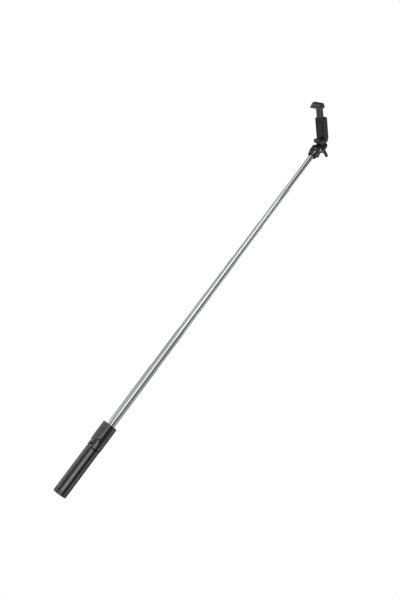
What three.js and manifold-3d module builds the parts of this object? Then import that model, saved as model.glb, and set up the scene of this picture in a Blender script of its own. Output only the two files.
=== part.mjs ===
// A telescoping selfie stick whose handle opens into a tripod. Millimetres, +Z up the pole.
// The origin is the centre of the closed feet; the front of the handle faces -Y.
import * as THREE from "three";
import Module from "manifold-3d";
import { mergeVertices } from "three/addons/utils/BufferGeometryUtils.js";

const wasm = await Module();
wasm.setup();

// Driving dimensions of the handle.
const GAP = 0.3;
const LEG_RADIUS = 14.1;
const LEG_BORE = 9.2;
const LEG_HALF_ANGLE = 59 * Math.PI / 180;
const FOOT_HEIGHT = 8.4;
const SEAM = 103.2;
const HANDLE_TOP = 156.8;
const HUB_RADIUS = 14.7;
const HUB_BORE = 8.75;
const LEG_PIN_RADIUS_AT = 11;
const LEG_PIN_HEIGHT = 106.7;
const TONGUE_WIDTH = 6.6;

// The remote control in the front of the hub.
const REMOTE_RADIUS = 16.2;
const REMOTE_HALF_WIDTH = 11;
const REMOTE_BOTTOM = 120;
const REMOTE_BACK = -10.6;
const REMOTE_SPLIT = -13.4;
const BUTTON_HEIGHT = 141;
const BUTTON_RADIUS = 3.6;

// The telescoping tubes: outer radius of the first, radius step, wall, and where each one ends.
const TUBE_RADIUS = 8.4;
const TUBE_STEP = 0.545;
const TUBE_WALL = 0.25;
const TUBE_SIDES = 24;
const TUBE_TOPS = [296.2, 386.8, 479, 572.9, 667.6, 766.2, 860.2];
const FIRST_TUBE_LENGTH = 152;
const TUBE_LENGTH = 125;

// The head: hinge axis along X above the pole.
const HEAD_BOTTOM = 860.2;
const HINGE_HEIGHT = 880;
const EAR_RADIUS = 8.8;
const NUT_EAR_RADIUS = 6.6;
const KNUCKLE_RADIUS = 7.6;
const YOKE_RADIUS = 11.8;
const FORK_HALF_GAP = 6.3;

// The phone clamp, drawn upright in its own frame: y is depth, z is the grip direction.
const CLAMP_TILT = 66.5 * Math.PI / 180;
const CLAMP_PLACE = [0, -15.5, 892.8];
const CLAMP_HALF_WIDTH = 10.5;
const OPENING = 72.5;
const SCREW_DEPTH = 11;
const PLATE_TOP = -20;
const PLATE_BOTTOM = -25;
const BASE_BOTTOM = -10;

// Turns a closed geometry into a solid that can be joined and cut.
function solid(geometry) {
  const plain = geometry.clone();
  plain.deleteAttribute("normal");
  plain.deleteAttribute("uv");
  const merged = mergeVertices(plain, 1e-4);
  return new wasm.Manifold(new wasm.Mesh({
    numProp: 3,
    vertProperties: Float32Array.from(merged.attributes.position.array),
    triVerts: Uint32Array.from(merged.index.array),
  }));
}

function toGeometry(manifold) {
  const mesh = manifold.getMesh();
  const geometry = new THREE.BufferGeometry();
  geometry.setAttribute("position", new THREE.BufferAttribute(mesh.vertProperties, 3));
  geometry.setIndex(new THREE.BufferAttribute(mesh.triVerts, 1));
  return geometry;
}

// A box from its lowest to its highest corner.
function box(low, high) {
  const size = high.map((value, i) => value - low[i]);
  const geometry = new THREE.BoxGeometry(...size);
  geometry.translate(...high.map((value, i) => (value + low[i]) / 2));
  return solid(geometry);
}

// A solid of revolution about Z; the profile lists [radius, height] and starts and ends on the axis.
function turned(profile, sides = 32, x = 0, y = 0) {
  const points = profile.map(([r, z]) => new THREE.Vector2(r, z));
  const geometry = new THREE.LatheGeometry(points, sides);
  geometry.rotateX(Math.PI / 2);
  geometry.rotateZ(Math.PI / sides);
  geometry.translate(x, y, 0);
  return solid(geometry);
}

function disc(radius, z0, z1, sides = 32, x = 0, y = 0) {
  return turned([[0, z0], [radius, z0], [radius, z1], [0, z1]], sides, x, y);
}

function ring(outer, inner, z0, z1, sides = 32, x = 0, y = 0) {
  const profile = [[inner, z0], [outer, z0], [outer, z1], [inner, z1], [inner, z0]];
  return turned(profile, sides, x, y);
}

// A round bar along X, centred on x = 0.
function barX(radius, half, y, z, sides = 24) {
  const geometry = new THREE.CylinderGeometry(radius, radius, 2 * half, sides);
  geometry.rotateZ(Math.PI / 2);
  geometry.rotateX(Math.PI / sides);
  geometry.translate(0, y, z);
  return solid(geometry);
}

// A round bar along Y from y0 to y1.
function barY(radius, y0, y1, x, z, sides = 32) {
  const geometry = new THREE.CylinderGeometry(radius, radius, y1 - y0, sides);
  geometry.translate(x, (y0 + y1) / 2, z);
  return solid(geometry);
}

// An outline in the Y-Z plane, drawn as [y, z] and carried along X from -half to +half.
function slabX(shape, half, curveSegments = 8) {
  const geometry = new THREE.ExtrudeGeometry(shape, { depth: 2 * half, bevelEnabled: false, curveSegments });
  geometry.rotateX(Math.PI / 2);
  geometry.rotateZ(Math.PI / 2);
  geometry.translate(-half, 0, 0);
  return solid(geometry);
}

// An outline in the X-Z plane, drawn as [x, z] and carried along Y from y0 to y1.
function slabY(shape, y0, y1, curveSegments = 8) {
  const geometry = new THREE.ExtrudeGeometry(shape, { depth: y1 - y0, bevelEnabled: false, curveSegments });
  geometry.rotateX(Math.PI / 2);
  geometry.translate(0, y1, 0);
  return solid(geometry);
}

// An outline in the X-Y plane carried from z0 to z1.
function slabZ(shape, z0, z1, curveSegments = 8) {
  const geometry = new THREE.ExtrudeGeometry(shape, { depth: z1 - z0, bevelEnabled: false, curveSegments });
  geometry.translate(0, 0, z0);
  return solid(geometry);
}

function outline(points) {
  return new THREE.Shape(points.map(([a, b]) => new THREE.Vector2(a, b)));
}

// A rectangle with round corners from [a0, b0] to [a1, b1].
function roundedBox(a0, b0, a1, b1, r) {
  const shape = new THREE.Shape();
  shape.absarc(a1 - r, b1 - r, r, 0, Math.PI / 2);
  shape.absarc(a0 + r, b1 - r, r, Math.PI / 2, Math.PI);
  shape.absarc(a0 + r, b0 + r, r, Math.PI, 1.5 * Math.PI);
  shape.absarc(a1 - r, b0 + r, r, 1.5 * Math.PI, 2 * Math.PI);
  shape.closePath();
  return shape;
}

const LOOKS = {
  satin_black: [0x1c1c1e, 0.42, 0],
  soft_grey: [0x4a4b4e, 0.5, 0],
  mid_grey: [0x6b6c70, 0.45, 0],
  rubber_black: [0x151516, 0.8, 0],
  polished_steel: [0xc4c6c8, 0.16, 1],
  plain_steel: [0x9a9ca0, 0.35, 1],
  brass: [0xb59a5b, 0.35, 1],
  circuit_green: [0x1d5a3c, 0.5, 0],
};

const selfieStick = new THREE.Group();

function piece(name, look, manifold, parent = selfieStick) {
  const [color, roughness, metalness] = LOOKS[look];
  const material = new THREE.MeshStandardMaterial({ color, roughness, metalness });
  const mesh = new THREE.Mesh(toGeometry(manifold), material);
  mesh.name = name;
  parent.add(mesh);
  return mesh;
}

// One third of a round shell about Z, centred on the -Y direction.
function sector(inner, outer, halfAngle, z0, z1) {
  const shape = new THREE.Shape();
  const middle = -Math.PI / 2;
  shape.absarc(0, 0, outer, middle - halfAngle, middle + halfAngle);
  shape.absarc(0, 0, inner, middle + halfAngle, middle - halfAngle, true);
  shape.closePath();
  return slabZ(shape, z0, z1, 14);
}

function pinBar(radius, half) {
  return barX(radius, half, -LEG_PIN_RADIUS_AT, LEG_PIN_HEIGHT, 20);
}

// A leg: a curved shell with a sloping top that clears the hub as it swings out.
function legShell() {
  const slope = 0.45;
  const drop = (LEG_RADIUS - LEG_BORE + 3) * slope;
  const above = outline([
    [-LEG_RADIUS - 1, SEAM + slope], [-LEG_BORE + 3, SEAM - drop],
    [0, SEAM - drop], [0, SEAM + 10], [-LEG_RADIUS - 1, SEAM + 10],
  ]);
  const socket = box([-TONGUE_WIDTH / 2 - GAP, -12.7, 92], [TONGUE_WIDTH / 2 + GAP, -9.3, SEAM + 5]);
  return sector(LEG_BORE, LEG_RADIUS, LEG_HALF_ANGLE, FOOT_HEIGHT + GAP, SEAM)
    .subtract(slabX(above, 20))
    .subtract(socket);
}

// The steel knuckle pressed into the top of a leg.
function legKnuckle() {
  const half = TONGUE_WIDTH / 2;
  const blade = box([-half, -12.4, 92.4], [half, -9.6, LEG_PIN_HEIGHT]);
  return pinBar(2, half).add(blade).subtract(pinBar(1.15, half + 1));
}

function footCap() {
  const block = sector(LEG_BORE - 5, LEG_RADIUS, LEG_HALF_ANGLE, 0, FOOT_HEIGHT);
  const rim = 1.6;
  const dome = turned([[0, 0], [LEG_RADIUS - rim, 0], [LEG_RADIUS - 0.4, 0.5], [LEG_RADIUS + 0.2, rim],
    [LEG_RADIUS + 0.2, FOOT_HEIGHT], [0, FOOT_HEIGHT]], 48);
  return block.intersect(dome);
}

const LEG_COUNT = 3;
for (let i = 0; i < LEG_COUNT; i++) {
  const leg = new THREE.Group();
  leg.rotation.z = i * 2 * Math.PI / LEG_COUNT;
  selfieStick.add(leg);
  piece(`leg_${i + 1}`, "satin_black", legShell(), leg);
  piece(`leg_${i + 1}_knuckle`, "polished_steel", legKnuckle(), leg);
  piece(`leg_${i + 1}_foot`, "rubber_black", footCap(), leg);
  piece(`leg_${i + 1}_pin`, "plain_steel", pinBar(0.85, 5.8), leg);
}

// The remote's outline seen from the front, grown by a margin.
function remoteOutline(margin) {
  const half = REMOTE_HALF_WIDTH + margin;
  const low = REMOTE_BOTTOM - margin;
  const corner = 9;
  const shape = new THREE.Shape();
  shape.moveTo(half, HANDLE_TOP + 1);
  shape.lineTo(-half, HANDLE_TOP + 1);
  shape.lineTo(-half, low + corner);
  shape.quadraticCurveTo(-half, low, -half + corner, low);
  shape.lineTo(half - corner, low);
  shape.quadraticCurveTo(half, low, half, low + corner);
  shape.closePath();
  return shape;
}

// A round section drawn out on both sides to meet the edges of the remote.
const SADDLE_RADIUS = 15.8;
const SADDLE_ANGLE = 44.5 * Math.PI / 180;

function saddle(z0, z1) {
  const reach = Math.acos(HUB_RADIUS / SADDLE_RADIUS);
  const front = -Math.PI / 2;
  const shape = new THREE.Shape();
  shape.absarc(0, 0, HUB_RADIUS, front + SADDLE_ANGLE + reach, front - SADDLE_ANGLE - reach + 2 * Math.PI);
  for (const side of [-1, 1]) {
    const angle = front + side * SADDLE_ANGLE;
    shape.lineTo(SADDLE_RADIUS * Math.cos(angle), SADDLE_RADIUS * Math.sin(angle));
  }
  shape.closePath();
  return slabZ(shape, z0, z1, 48);
}

// The part of the saddle that rises out of the round hub along a slope below the remote.
function raisedSaddle(top) {
  const foot = 121;
  const slope = outline([[20, foot - 6], [-9.5, foot - 6], [-14.6, foot], [-16.5, foot + 8], [-16.5, 160],
    [20, 160]].reverse());
  return saddle(foot - 5, top).intersect(slabX(slope, 20));
}

function hub() {
  const edge = 0.9;
  const bottom = SEAM + GAP;
  const top = HANDLE_TOP - 1.9;
  const drop = 0.45 * (LEG_RADIUS - 9.7);
  const shell = turned([[0, bottom - drop], [9.7, bottom - drop], [LEG_RADIUS, bottom],
    [HUB_RADIUS, bottom + edge], [HUB_RADIUS, top], [0, top]], 48);
  let body = shell.add(raisedSaddle(top))
    .subtract(disc(HUB_BORE, bottom - 5, HANDLE_TOP + 1, TUBE_SIDES * 2))
    .subtract(disc(9.7, bottom - 5, 119, 48))
    .subtract(slabY(remoteOutline(GAP), -20, REMOTE_BACK + GAP));
  const slotHalf = TONGUE_WIDTH / 2 + 0.5;
  const arch = new THREE.Shape();
  arch.moveTo(-slotHalf, bottom - 4);
  arch.lineTo(slotHalf, bottom - 4);
  arch.lineTo(slotHalf, 107.4);
  arch.absarc(0, 107.4, slotHalf, 0, Math.PI);
  arch.closePath();
  const cut = slabY(arch, -16, -8.2).add(pinBar(1.15, 6.2));
  for (let i = 0; i < LEG_COUNT; i++) {
    body = body.subtract(cut.rotate([0, 0, i * 360 / LEG_COUNT]));
  }
  return body;
}

function hubCap() {
  const edge = 0.7;
  const low = HANDLE_TOP - 1.6;
  const tapered = saddle(low, HANDLE_TOP)
    .intersect(turned([[0, low], [SADDLE_RADIUS, low], [SADDLE_RADIUS, HANDLE_TOP - edge],
      [SADDLE_RADIUS - edge, HANDLE_TOP], [0, HANDLE_TOP]], 64));
  return tapered.subtract(disc(HUB_BORE, low - 1, HANDLE_TOP + 1, TUBE_SIDES * 2))
    .subtract(slabY(remoteOutline(GAP), -20, REMOTE_BACK + GAP));
}

// The brake bush: a ring in the hub whose thin sleeve closes the space behind the knuckle slots.
function brakeBush() {
  return turned([[8.7, 98], [8.95, 98], [8.95, 111.5], [9.4, 111.5], [9.4, 118.5], [8.7, 118.5], [8.7, 98]],
    48);
}

piece("handle_hub", "satin_black", hub());
piece("hub_cap", "satin_black", hubCap());
piece("brake_bush", "soft_grey", brakeBush());

// The remote: two shells round a board, a coin cell and a switch, with one button.
function remoteBlank(back, front) {
  const round = disc(REMOTE_RADIUS, REMOTE_BOTTOM - 1, HANDLE_TOP, 64);
  return round.intersect(slabY(remoteOutline(0), front, back));
}

function remoteBackShell() {
  const tray = box([-7, REMOTE_SPLIT - 1, 124], [7, REMOTE_BACK - 1, 155]);
  return remoteBlank(REMOTE_BACK, REMOTE_SPLIT + GAP / 2).subtract(tray);
}

function remoteFrontShell() {
  const hollow = box([-7, REMOTE_SPLIT - 1.5, 124], [7, REMOTE_SPLIT + 1, 155])
    .intersect(disc(REMOTE_RADIUS - 0.8, 120, HANDLE_TOP, 64));
  const hole = barY(BUTTON_RADIUS + GAP, -20, REMOTE_SPLIT, 0, BUTTON_HEIGHT, 40);
  return remoteBlank(REMOTE_SPLIT - GAP / 2, -20).subtract(hollow).subtract(hole);
}

const BOARD_BACK = -13.6;
piece("remote_back_shell", "satin_black", remoteBackShell());
piece("remote_front_shell", "soft_grey", remoteFrontShell());
piece("remote_board", "circuit_green", box([-5.2, BOARD_BACK - 0.7, 126], [5.2, BOARD_BACK, 153]));
piece("coin_cell", "plain_steel", barY(6.2, -13.3, -11.9, 0, 134, 32));
piece("switch_dome", "polished_steel", barY(2.4, -14.85, -14.6, 0, BUTTON_HEIGHT, 20));
const buttonDisc = barY(BUTTON_RADIUS, -17, -15.2, 0, BUTTON_HEIGHT, 40);
piece("shutter_button", "mid_grey", buttonDisc.intersect(disc(REMOTE_RADIUS + 0.35, 120, 156, 64)));

// The telescoping tubes.
TUBE_TOPS.forEach((top, i) => {
  const outer = TUBE_RADIUS - i * TUBE_STEP;
  const length = i === 0 ? FIRST_TUBE_LENGTH : TUBE_LENGTH;
  piece(`tube_${i + 1}`, "polished_steel", ring(outer, outer - TUBE_WALL, top - length, top, TUBE_SIDES));
});

// The head: a plug and flange in the last tube, a washer, and a fork that swivels on them.
function neckCollar() {
  const flange = 9.6;
  const plug = 4.5;
  const seat = HEAD_BOTTOM + GAP;
  const profile = [[0, 843], [plug - 0.6, 843], [plug, 844], [plug, seat], [flange - 1.4, seat],
    [flange, seat + 1.2], [flange, 862.8], [0, 862.8]];
  return turned(profile, 40).subtract(disc(2, 848, 864, 24));
}

function headFork() {
  const low = 863.8;
  const base = 9.9;
  const front = new THREE.Shape();
  front.moveTo(-base, low);
  front.lineTo(base, low);
  front.lineTo(base + 0.4, 867);
  front.lineTo(EAR_RADIUS, 870.5);
  front.lineTo(EAR_RADIUS, HINGE_HEIGHT);
  front.absarc(0, HINGE_HEIGHT, EAR_RADIUS, 0, Math.PI);
  front.lineTo(-EAR_RADIUS, 870.5);
  front.lineTo(-base - 0.4, 867);
  front.closePath();
  const side = turned([[0, low], [base, low], [base + 0.4, 866.6], [YOKE_RADIUS, 870.5],
    [YOKE_RADIUS, 884], [YOKE_RADIUS - 1.2, 890], [0, 890]], 48);
  const slot = box([-FORK_HALF_GAP, -20, 871.8], [FORK_HALF_GAP, 20, 895]);
  const recess = 9.2;
  const sinks = barX(4.4, 20, 0, HINGE_HEIGHT, 32).subtract(barX(6, recess, 0, HINGE_HEIGHT, 32));
  const nutEar = barX(NUT_EAR_RADIUS, 20, 0, HINGE_HEIGHT, 40)
    .add(box([-20, -NUT_EAR_RADIUS, 873], [20, NUT_EAR_RADIUS, HINGE_HEIGHT]));
  const trim = box([FORK_HALF_GAP - 0.5, -20, 873], [20, 20, 895]).subtract(nutEar);
  return slabX(front, 13, 16).intersect(side)
    .subtract(slot)
    .subtract(trim)
    .subtract(barX(2.4, 20, 0, HINGE_HEIGHT, 24))
    .subtract(sinks)
    .subtract(disc(1.9, 862, 872, 24))
    .subtract(disc(3.7, 868.4, 873, 24));
}

function hexBar(radius, x0, x1) {
  const geometry = new THREE.CylinderGeometry(radius, radius, x1 - x0, 6);
  geometry.rotateZ(Math.PI / 2);
  geometry.translate((x0 + x1) / 2, 0, HINGE_HEIGHT);
  return solid(geometry);
}

function tiltBolt() {
  const head = barX(3.9, 0.9, 0, HINGE_HEIGHT, 32).translate([-10.5, 0, 0]);
  const slot = box([-12, -0.5, HINGE_HEIGHT - 5], [-10.9, 0.5, HINGE_HEIGHT + 5]);
  return barX(1.9, 10.6, 0, HINGE_HEIGHT, 24).add(head).subtract(slot);
}

function tiltNut() {
  return hexBar(3.9, 9.5, 11.3).subtract(barX(2.2, 20, 0, HINGE_HEIGHT, 24));
}

piece("neck_collar", "satin_black", neckCollar());
piece("swivel_washer", "plain_steel", ring(8.6, 2, 863.1, 863.5, 32));
piece("swivel_screw", "plain_steel", disc(1.6, 850, 869, 24).add(disc(3.3, 868.7, 871, 24)));
piece("head_fork", "mid_grey", headFork());
piece("tilt_bolt", "plain_steel", tiltBolt());
piece("tilt_nut", "plain_steel", tiltNut());

// Everything beyond the tilt hinge is drawn upright and tipped forward as one group.
const tilted = new THREE.Group();
tilted.position.set(...CLAMP_PLACE);
tilted.rotation.x = CLAMP_TILT;
selfieStick.add(tilted);

// The hinge axis in the tilted frame.
const HINGE_DEPTH = -CLAMP_PLACE[1] * Math.cos(CLAMP_TILT)
  + (HINGE_HEIGHT - CLAMP_PLACE[2]) * Math.sin(CLAMP_TILT);
const HINGE_RISE = CLAMP_PLACE[1] * Math.sin(CLAMP_TILT)
  + (HINGE_HEIGHT - CLAMP_PLACE[2]) * Math.cos(CLAMP_TILT);

// A knuckle, an arm, and a cup with a tapered outside that carries the clamp's foot.
const CUP_RIM = -15.6;
const CUP_BORE = 8.9;

function tiltBracket() {
  const reach = 10.6;
  const arm = box([-6, HINGE_DEPTH, PLATE_BOTTOM], [6, SCREW_DEPTH, PLATE_TOP]);
  const cup = turned([[0, PLATE_BOTTOM], [9, PLATE_BOTTOM], [10.6, -24.2], [12.2, -21], [13, -17.5],
    [12.8, CUP_RIM], [0, CUP_RIM]], 48, 0, SCREW_DEPTH)
    .subtract(disc(CUP_BORE, PLATE_TOP, -10, 48, 0, SCREW_DEPTH))
    .subtract(box([-15, -20, -40], [15, HINGE_DEPTH + reach, 0]));
  return barX(KNUCKLE_RADIUS, 6, HINGE_DEPTH, HINGE_RISE, 40)
    .add(arm)
    .add(cup)
    .subtract(disc(CUP_BORE, PLATE_TOP, -10, 48, 0, SCREW_DEPTH))
    .subtract(barX(2.2, 8, HINGE_DEPTH, HINGE_RISE, 24))
    .subtract(disc(3.4, -30, -15, 32, 0, SCREW_DEPTH));
}

// A wing screw: a shank, a round hub and two blades that spread downwards.
function wingScrew() {
  const top = PLATE_BOTTOM - GAP;
  const hubPart = turned([[0, top], [5.3, top], [5.3, top - 1.5], [4.5, top - 6.5], [3.6, top - 7.5],
    [0, top - 7.5]].reverse(), 32, 0, SCREW_DEPTH);
  const shank = disc(2.9, top - 1, -11.5, 32, 0, SCREW_DEPTH);
  const blade = new THREE.Shape();
  blade.moveTo(0, top - 0.8);
  blade.lineTo(5, top - 0.8);
  blade.quadraticCurveTo(8, top - 2, 9.8, top - 8);
  blade.lineTo(12.4, top - 15);
  blade.quadraticCurveTo(12.8, top - 19.2, 9.4, top - 19.4);
  blade.quadraticCurveTo(7, top - 19, 5.6, top - 14.6);
  blade.quadraticCurveTo(3.6, top - 8.6, 0, top - 7.6);
  blade.closePath();
  const thin = 1.3;
  const right = slabY(blade, -thin, thin);
  const pair = right.add(right.rotate([0, 0, 180]));
  const turn = 33;
  return hubPart.add(shank).add(pair.rotate([0, 0, turn]).translate([0, SCREW_DEPTH, 0]));
}

piece("tilt_bracket", "soft_grey", tiltBracket(), tilted);
piece("wing_screw", "mid_grey", wingScrew(), tilted);
piece("threaded_insert", "brass", ring(4.6, 3.3, -19.7, -10.4, 32, 0, SCREW_DEPTH), tilted);

// The clamp body: a round foot, a shelf with a front lip, and an open-backed spring housing.
const SHELF_TOP = -1.6;
const HOUSING_FRONT = 10.2;
const HOUSING_BACK = 22;
const HOUSING_TOP = 44;

// The front lip is narrower than the housing, and the shelf tapers towards it.
const LIP_HALF_WIDTH = 6.4;

function clampBody() {
  const w = CLAMP_HALF_WIDTH;
  const foot = disc(8.6, PLATE_TOP + GAP, BASE_BOTTOM + 1, 40, 0, SCREW_DEPTH);
  const side = new THREE.Shape();
  side.moveTo(3, BASE_BOTTOM);
  side.lineTo(HOUSING_BACK - 4, BASE_BOTTOM);
  side.quadraticCurveTo(HOUSING_BACK, BASE_BOTTOM, HOUSING_BACK, BASE_BOTTOM + 5);
  side.lineTo(HOUSING_BACK, HOUSING_TOP);
  side.lineTo(HOUSING_FRONT, HOUSING_TOP);
  side.lineTo(HOUSING_FRONT, SHELF_TOP);
  side.lineTo(-1.3, SHELF_TOP);
  side.lineTo(-1.6, 3.2);
  side.quadraticCurveTo(-4.6, 3.6, -4.8, 0);
  side.quadraticCurveTo(-5, -5, -2.4, -5.8);
  side.quadraticCurveTo(1.6, -6.4, 3, BASE_BOTTOM);
  side.closePath();
  const plan = outline([[-LIP_HALF_WIDTH, -8], [LIP_HALF_WIDTH, -8], [LIP_HALF_WIDTH, 1], [w, 8], [w, 30],
    [-w, 30], [-w, 8], [-LIP_HALF_WIDTH, 1]]);
  const cavity = box([-8.7, 12, -4.6], [8.7, HOUSING_BACK + 1, HOUSING_TOP + 1]);
  return slabX(side, w, 10).intersect(slabZ(plan, -30, 60)).add(foot)
    .subtract(disc(4.9, PLATE_TOP, -10.1, 32, 0, SCREW_DEPTH))
    .subtract(cavity);
}

function rearCover() {
  const shape = roundedBox(-CLAMP_HALF_WIDTH, -4.6, CLAMP_HALF_WIDTH, HOUSING_TOP, 2.2);
  let plate = slabY(shape, HOUSING_BACK + GAP, HOUSING_BACK + 2, 5);
  for (const height of COVER_SCREW_HEIGHTS) {
    plate = plate.subtract(barY(1.6, 20, 26, 0, height, 20));
  }
  return plate;
}

// The sliding jaw: a flat stem in the housing, and a hooked top over the phone.
const COVER_SCREW_HEIGHTS = [0, 38];
const STEM_BOTTOM = 12;

function upperJaw() {
  const underside = OPENING + 3.9;
  const hook = new THREE.Shape();
  hook.moveTo(3, underside);
  hook.lineTo(-1.1, OPENING + 0.6);
  hook.lineTo(-1.3, OPENING - 0.9);
  hook.quadraticCurveTo(-3.9, OPENING - 1.2, -3.7, OPENING + 0.4);
  hook.quadraticCurveTo(-1.6, OPENING + 2.4, 1.6, OPENING + 4.4);
  hook.quadraticCurveTo(4.2, OPENING + 7.4, 6.5, OPENING + 7.5);
  hook.lineTo(12.4, OPENING + 7.1);
  hook.quadraticCurveTo(17.4, OPENING + 6, 18.4, OPENING + 0.5);
  hook.lineTo(19.3, OPENING - 5.5);
  hook.lineTo(12.4, OPENING - 5.5);
  hook.lineTo(12.4, underside);
  hook.closePath();
  const stem = box([-8.2, 12.4, STEM_BOTTOM], [8.2, 15.6, OPENING]);
  return slabX(hook, CLAMP_HALF_WIDTH, 10).add(stem);
}

function spring(x) {
  return ring(2.1, 1.2, -4, 26, 16, x, 19);
}

function springPost() {
  return barX(0.9, 8.3, 19, 30, 16);
}

const PAD_HALF_WIDTH = 9.4;
piece("clamp_body", "soft_grey", clampBody(), tilted);
piece("clamp_rear_cover", "satin_black", rearCover(), tilted);
COVER_SCREW_HEIGHTS.forEach((height, i) => {
  const screw = barY(1.2, HOUSING_BACK + 0.6, HOUSING_BACK + 2.2, 0, height, 20);
  piece(`cover_screw_${i + 1}`, "plain_steel", screw, tilted);
});
piece("upper_jaw", "mid_grey", upperJaw(), tilted);
piece("lower_pad", "rubber_black", box([-5.6, -1, -1.3], [5.6, 9.6, 0]), tilted);
piece("back_pad", "rubber_black", box([-8.4, 8.5, 6], [8.4, 9.9, 41]), tilted);
piece("upper_pad", "rubber_black",
  box([-PAD_HALF_WIDTH, 3.2, OPENING], [PAD_HALF_WIDTH, 11.8, OPENING + 3.6]), tilted);
piece("clamp_spring_left", "plain_steel", spring(-5), tilted);
piece("clamp_spring_right", "plain_steel", spring(5), tilted);
piece("spring_post", "plain_steel", springPost(), tilted);

export default selfieStick;
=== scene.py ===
"""The looks of a telescoping selfie stick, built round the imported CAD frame. Lengths below are in mm
unless a name says otherwise, and every mesh is scaled to metres when it is made."""

import math

import bmesh
import bpy
from mathutils import Matrix, Vector


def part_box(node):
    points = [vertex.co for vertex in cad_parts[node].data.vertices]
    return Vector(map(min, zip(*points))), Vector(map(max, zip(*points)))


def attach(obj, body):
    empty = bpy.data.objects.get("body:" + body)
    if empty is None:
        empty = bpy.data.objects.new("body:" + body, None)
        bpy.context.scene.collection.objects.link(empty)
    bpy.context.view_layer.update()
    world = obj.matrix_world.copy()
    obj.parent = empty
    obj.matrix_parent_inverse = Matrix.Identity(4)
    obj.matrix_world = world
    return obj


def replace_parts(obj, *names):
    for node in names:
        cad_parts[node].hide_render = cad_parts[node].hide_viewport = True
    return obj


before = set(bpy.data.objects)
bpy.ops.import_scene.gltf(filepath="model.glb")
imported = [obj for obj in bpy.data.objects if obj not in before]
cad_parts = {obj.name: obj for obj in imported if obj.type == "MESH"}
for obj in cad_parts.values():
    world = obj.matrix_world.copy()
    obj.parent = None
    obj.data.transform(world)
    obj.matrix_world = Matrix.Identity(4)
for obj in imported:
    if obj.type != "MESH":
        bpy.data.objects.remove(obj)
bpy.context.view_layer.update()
MM = 0.001


# ---------------------------------------------------------------- camera, light and floor

STUDIO_AZIMUTH = math.radians(42)
LOOK_UP = math.radians(13.9)
LEAN = math.radians(36.8)
AIM_HEIGHT = 0.460
DISTANCE = 1.506
SIDE_STEP = 0.0068
FLOOR_HEIGHT = -0.45
FLOOR_REACH = 1.15


def make_camera():
    """Looks slightly upwards at the middle of the pole, rolled so that the pole leans right."""
    data = bpy.data.cameras.new("camera")
    data.lens = 45
    data.sensor_width = 36
    data.clip_end = 50
    camera = bpy.data.objects.new("camera", data)
    bpy.context.collection.objects.link(camera)
    level = Vector((-math.sin(STUDIO_AZIMUTH), math.cos(STUDIO_AZIMUTH), 0))
    forward = level * math.cos(LOOK_UP) + Vector((0, 0, math.sin(LOOK_UP)))
    side = forward.cross(Vector((0, 0, 1))).normalized()
    upright = side.cross(forward)
    right = side * math.cos(LEAN) + upright * math.sin(LEAN)
    up = upright * math.cos(LEAN) - side * math.sin(LEAN)
    place = Vector((0, 0, AIM_HEIGHT)) - forward * DISTANCE - side * SIDE_STEP
    camera.matrix_world = Matrix.Translation(place) @ Matrix((right, up, -forward)).transposed().to_4x4()
    bpy.context.scene.camera = camera


def ramp(nodes, stops):
    """A ramp of greys from [degrees from the studio's front, brightness]; right is positive."""
    node = nodes.new("ShaderNodeValToRGB")
    elements = node.color_ramp.elements
    while len(elements) > 1:
        elements.remove(elements[-1])
    elements[0].position = 0
    for i, (degrees, level) in enumerate(stops):
        element = elements[0] if i == 0 else elements.new(0.5 + degrees / 360)
        share = level / STUDIO_STRENGTH
        element.color = (share, share, share, 1)
    return node


STUDIO_STRENGTH = 4.0
# Each ring is the studio's brightness as [degrees from its front, level]. A ray's upward slope picks the
# ring, and BANDS gives the slopes over which each ring fades into the next. The levels were set by
# comparing greys across the stick for the main view, so other views are lit by them less closely.
AT_HANDLE = [(-180, .1), (-150, .25), (-118, 1.15), (-84, 1.25), (-66, .35), (-40, .1), (-26, .9),
             (-14, 3.0), (8, 3.2), (22, .6), (36, .05), (58, .05), (70, .9), (96, 1.0), (112, .3),
             (150, .1), (179, .1)]
AT_REMOTE = [(-180, .3), (-140, .8), (-120, 1.9), (-96, 2.4), (-77, 1.1), (-60, .6), (-43, .25),
             (-28, .05), (-12, .03), (50, .05), (62, .3), (78, .9), (96, 1.0), (110, .4), (140, .1),
             (179, .1)]
ABOVE_HANDLE = [(-180, .3), (-140, .45), (-110, .62), (-84, .64), (-53, .72), (-30, .8), (-12, 1.3),
                (-4, 2.0), (10, 2.0), (16, .5), (22, .2), (50, .15), (62, .3), (78, .62), (110, .55),
                (140, .3), (179, .25)]
AT_POLE = [(-180, .1), (-120, .15), (-90, .2), (-75, .24), (-60, .7), (-45, 1.0), (-22, 1.0), (-10, .6),
           (0, .32), (12, .2), (30, .1), (42, .15), (55, .35), (70, .45), (100, .3), (120, .1), (179, .1)]
AT_HEAD = [(-180, .1), (-100, .1), (-80, .3), (-64, 1.4), (-44, 1.5), (-28, .9), (-12, .15), (0, .1),
           (40, .12), (60, .5), (85, .5), (110, .1), (179, .1)]
LEVELS = [AT_HANDLE, AT_REMOTE, ABOVE_HANDLE, AT_POLE, AT_HEAD]
BANDS = [None, (0.013, 0.020), (0.040, 0.046), (0.12, 0.28), (0.30, 0.44)]


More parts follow.
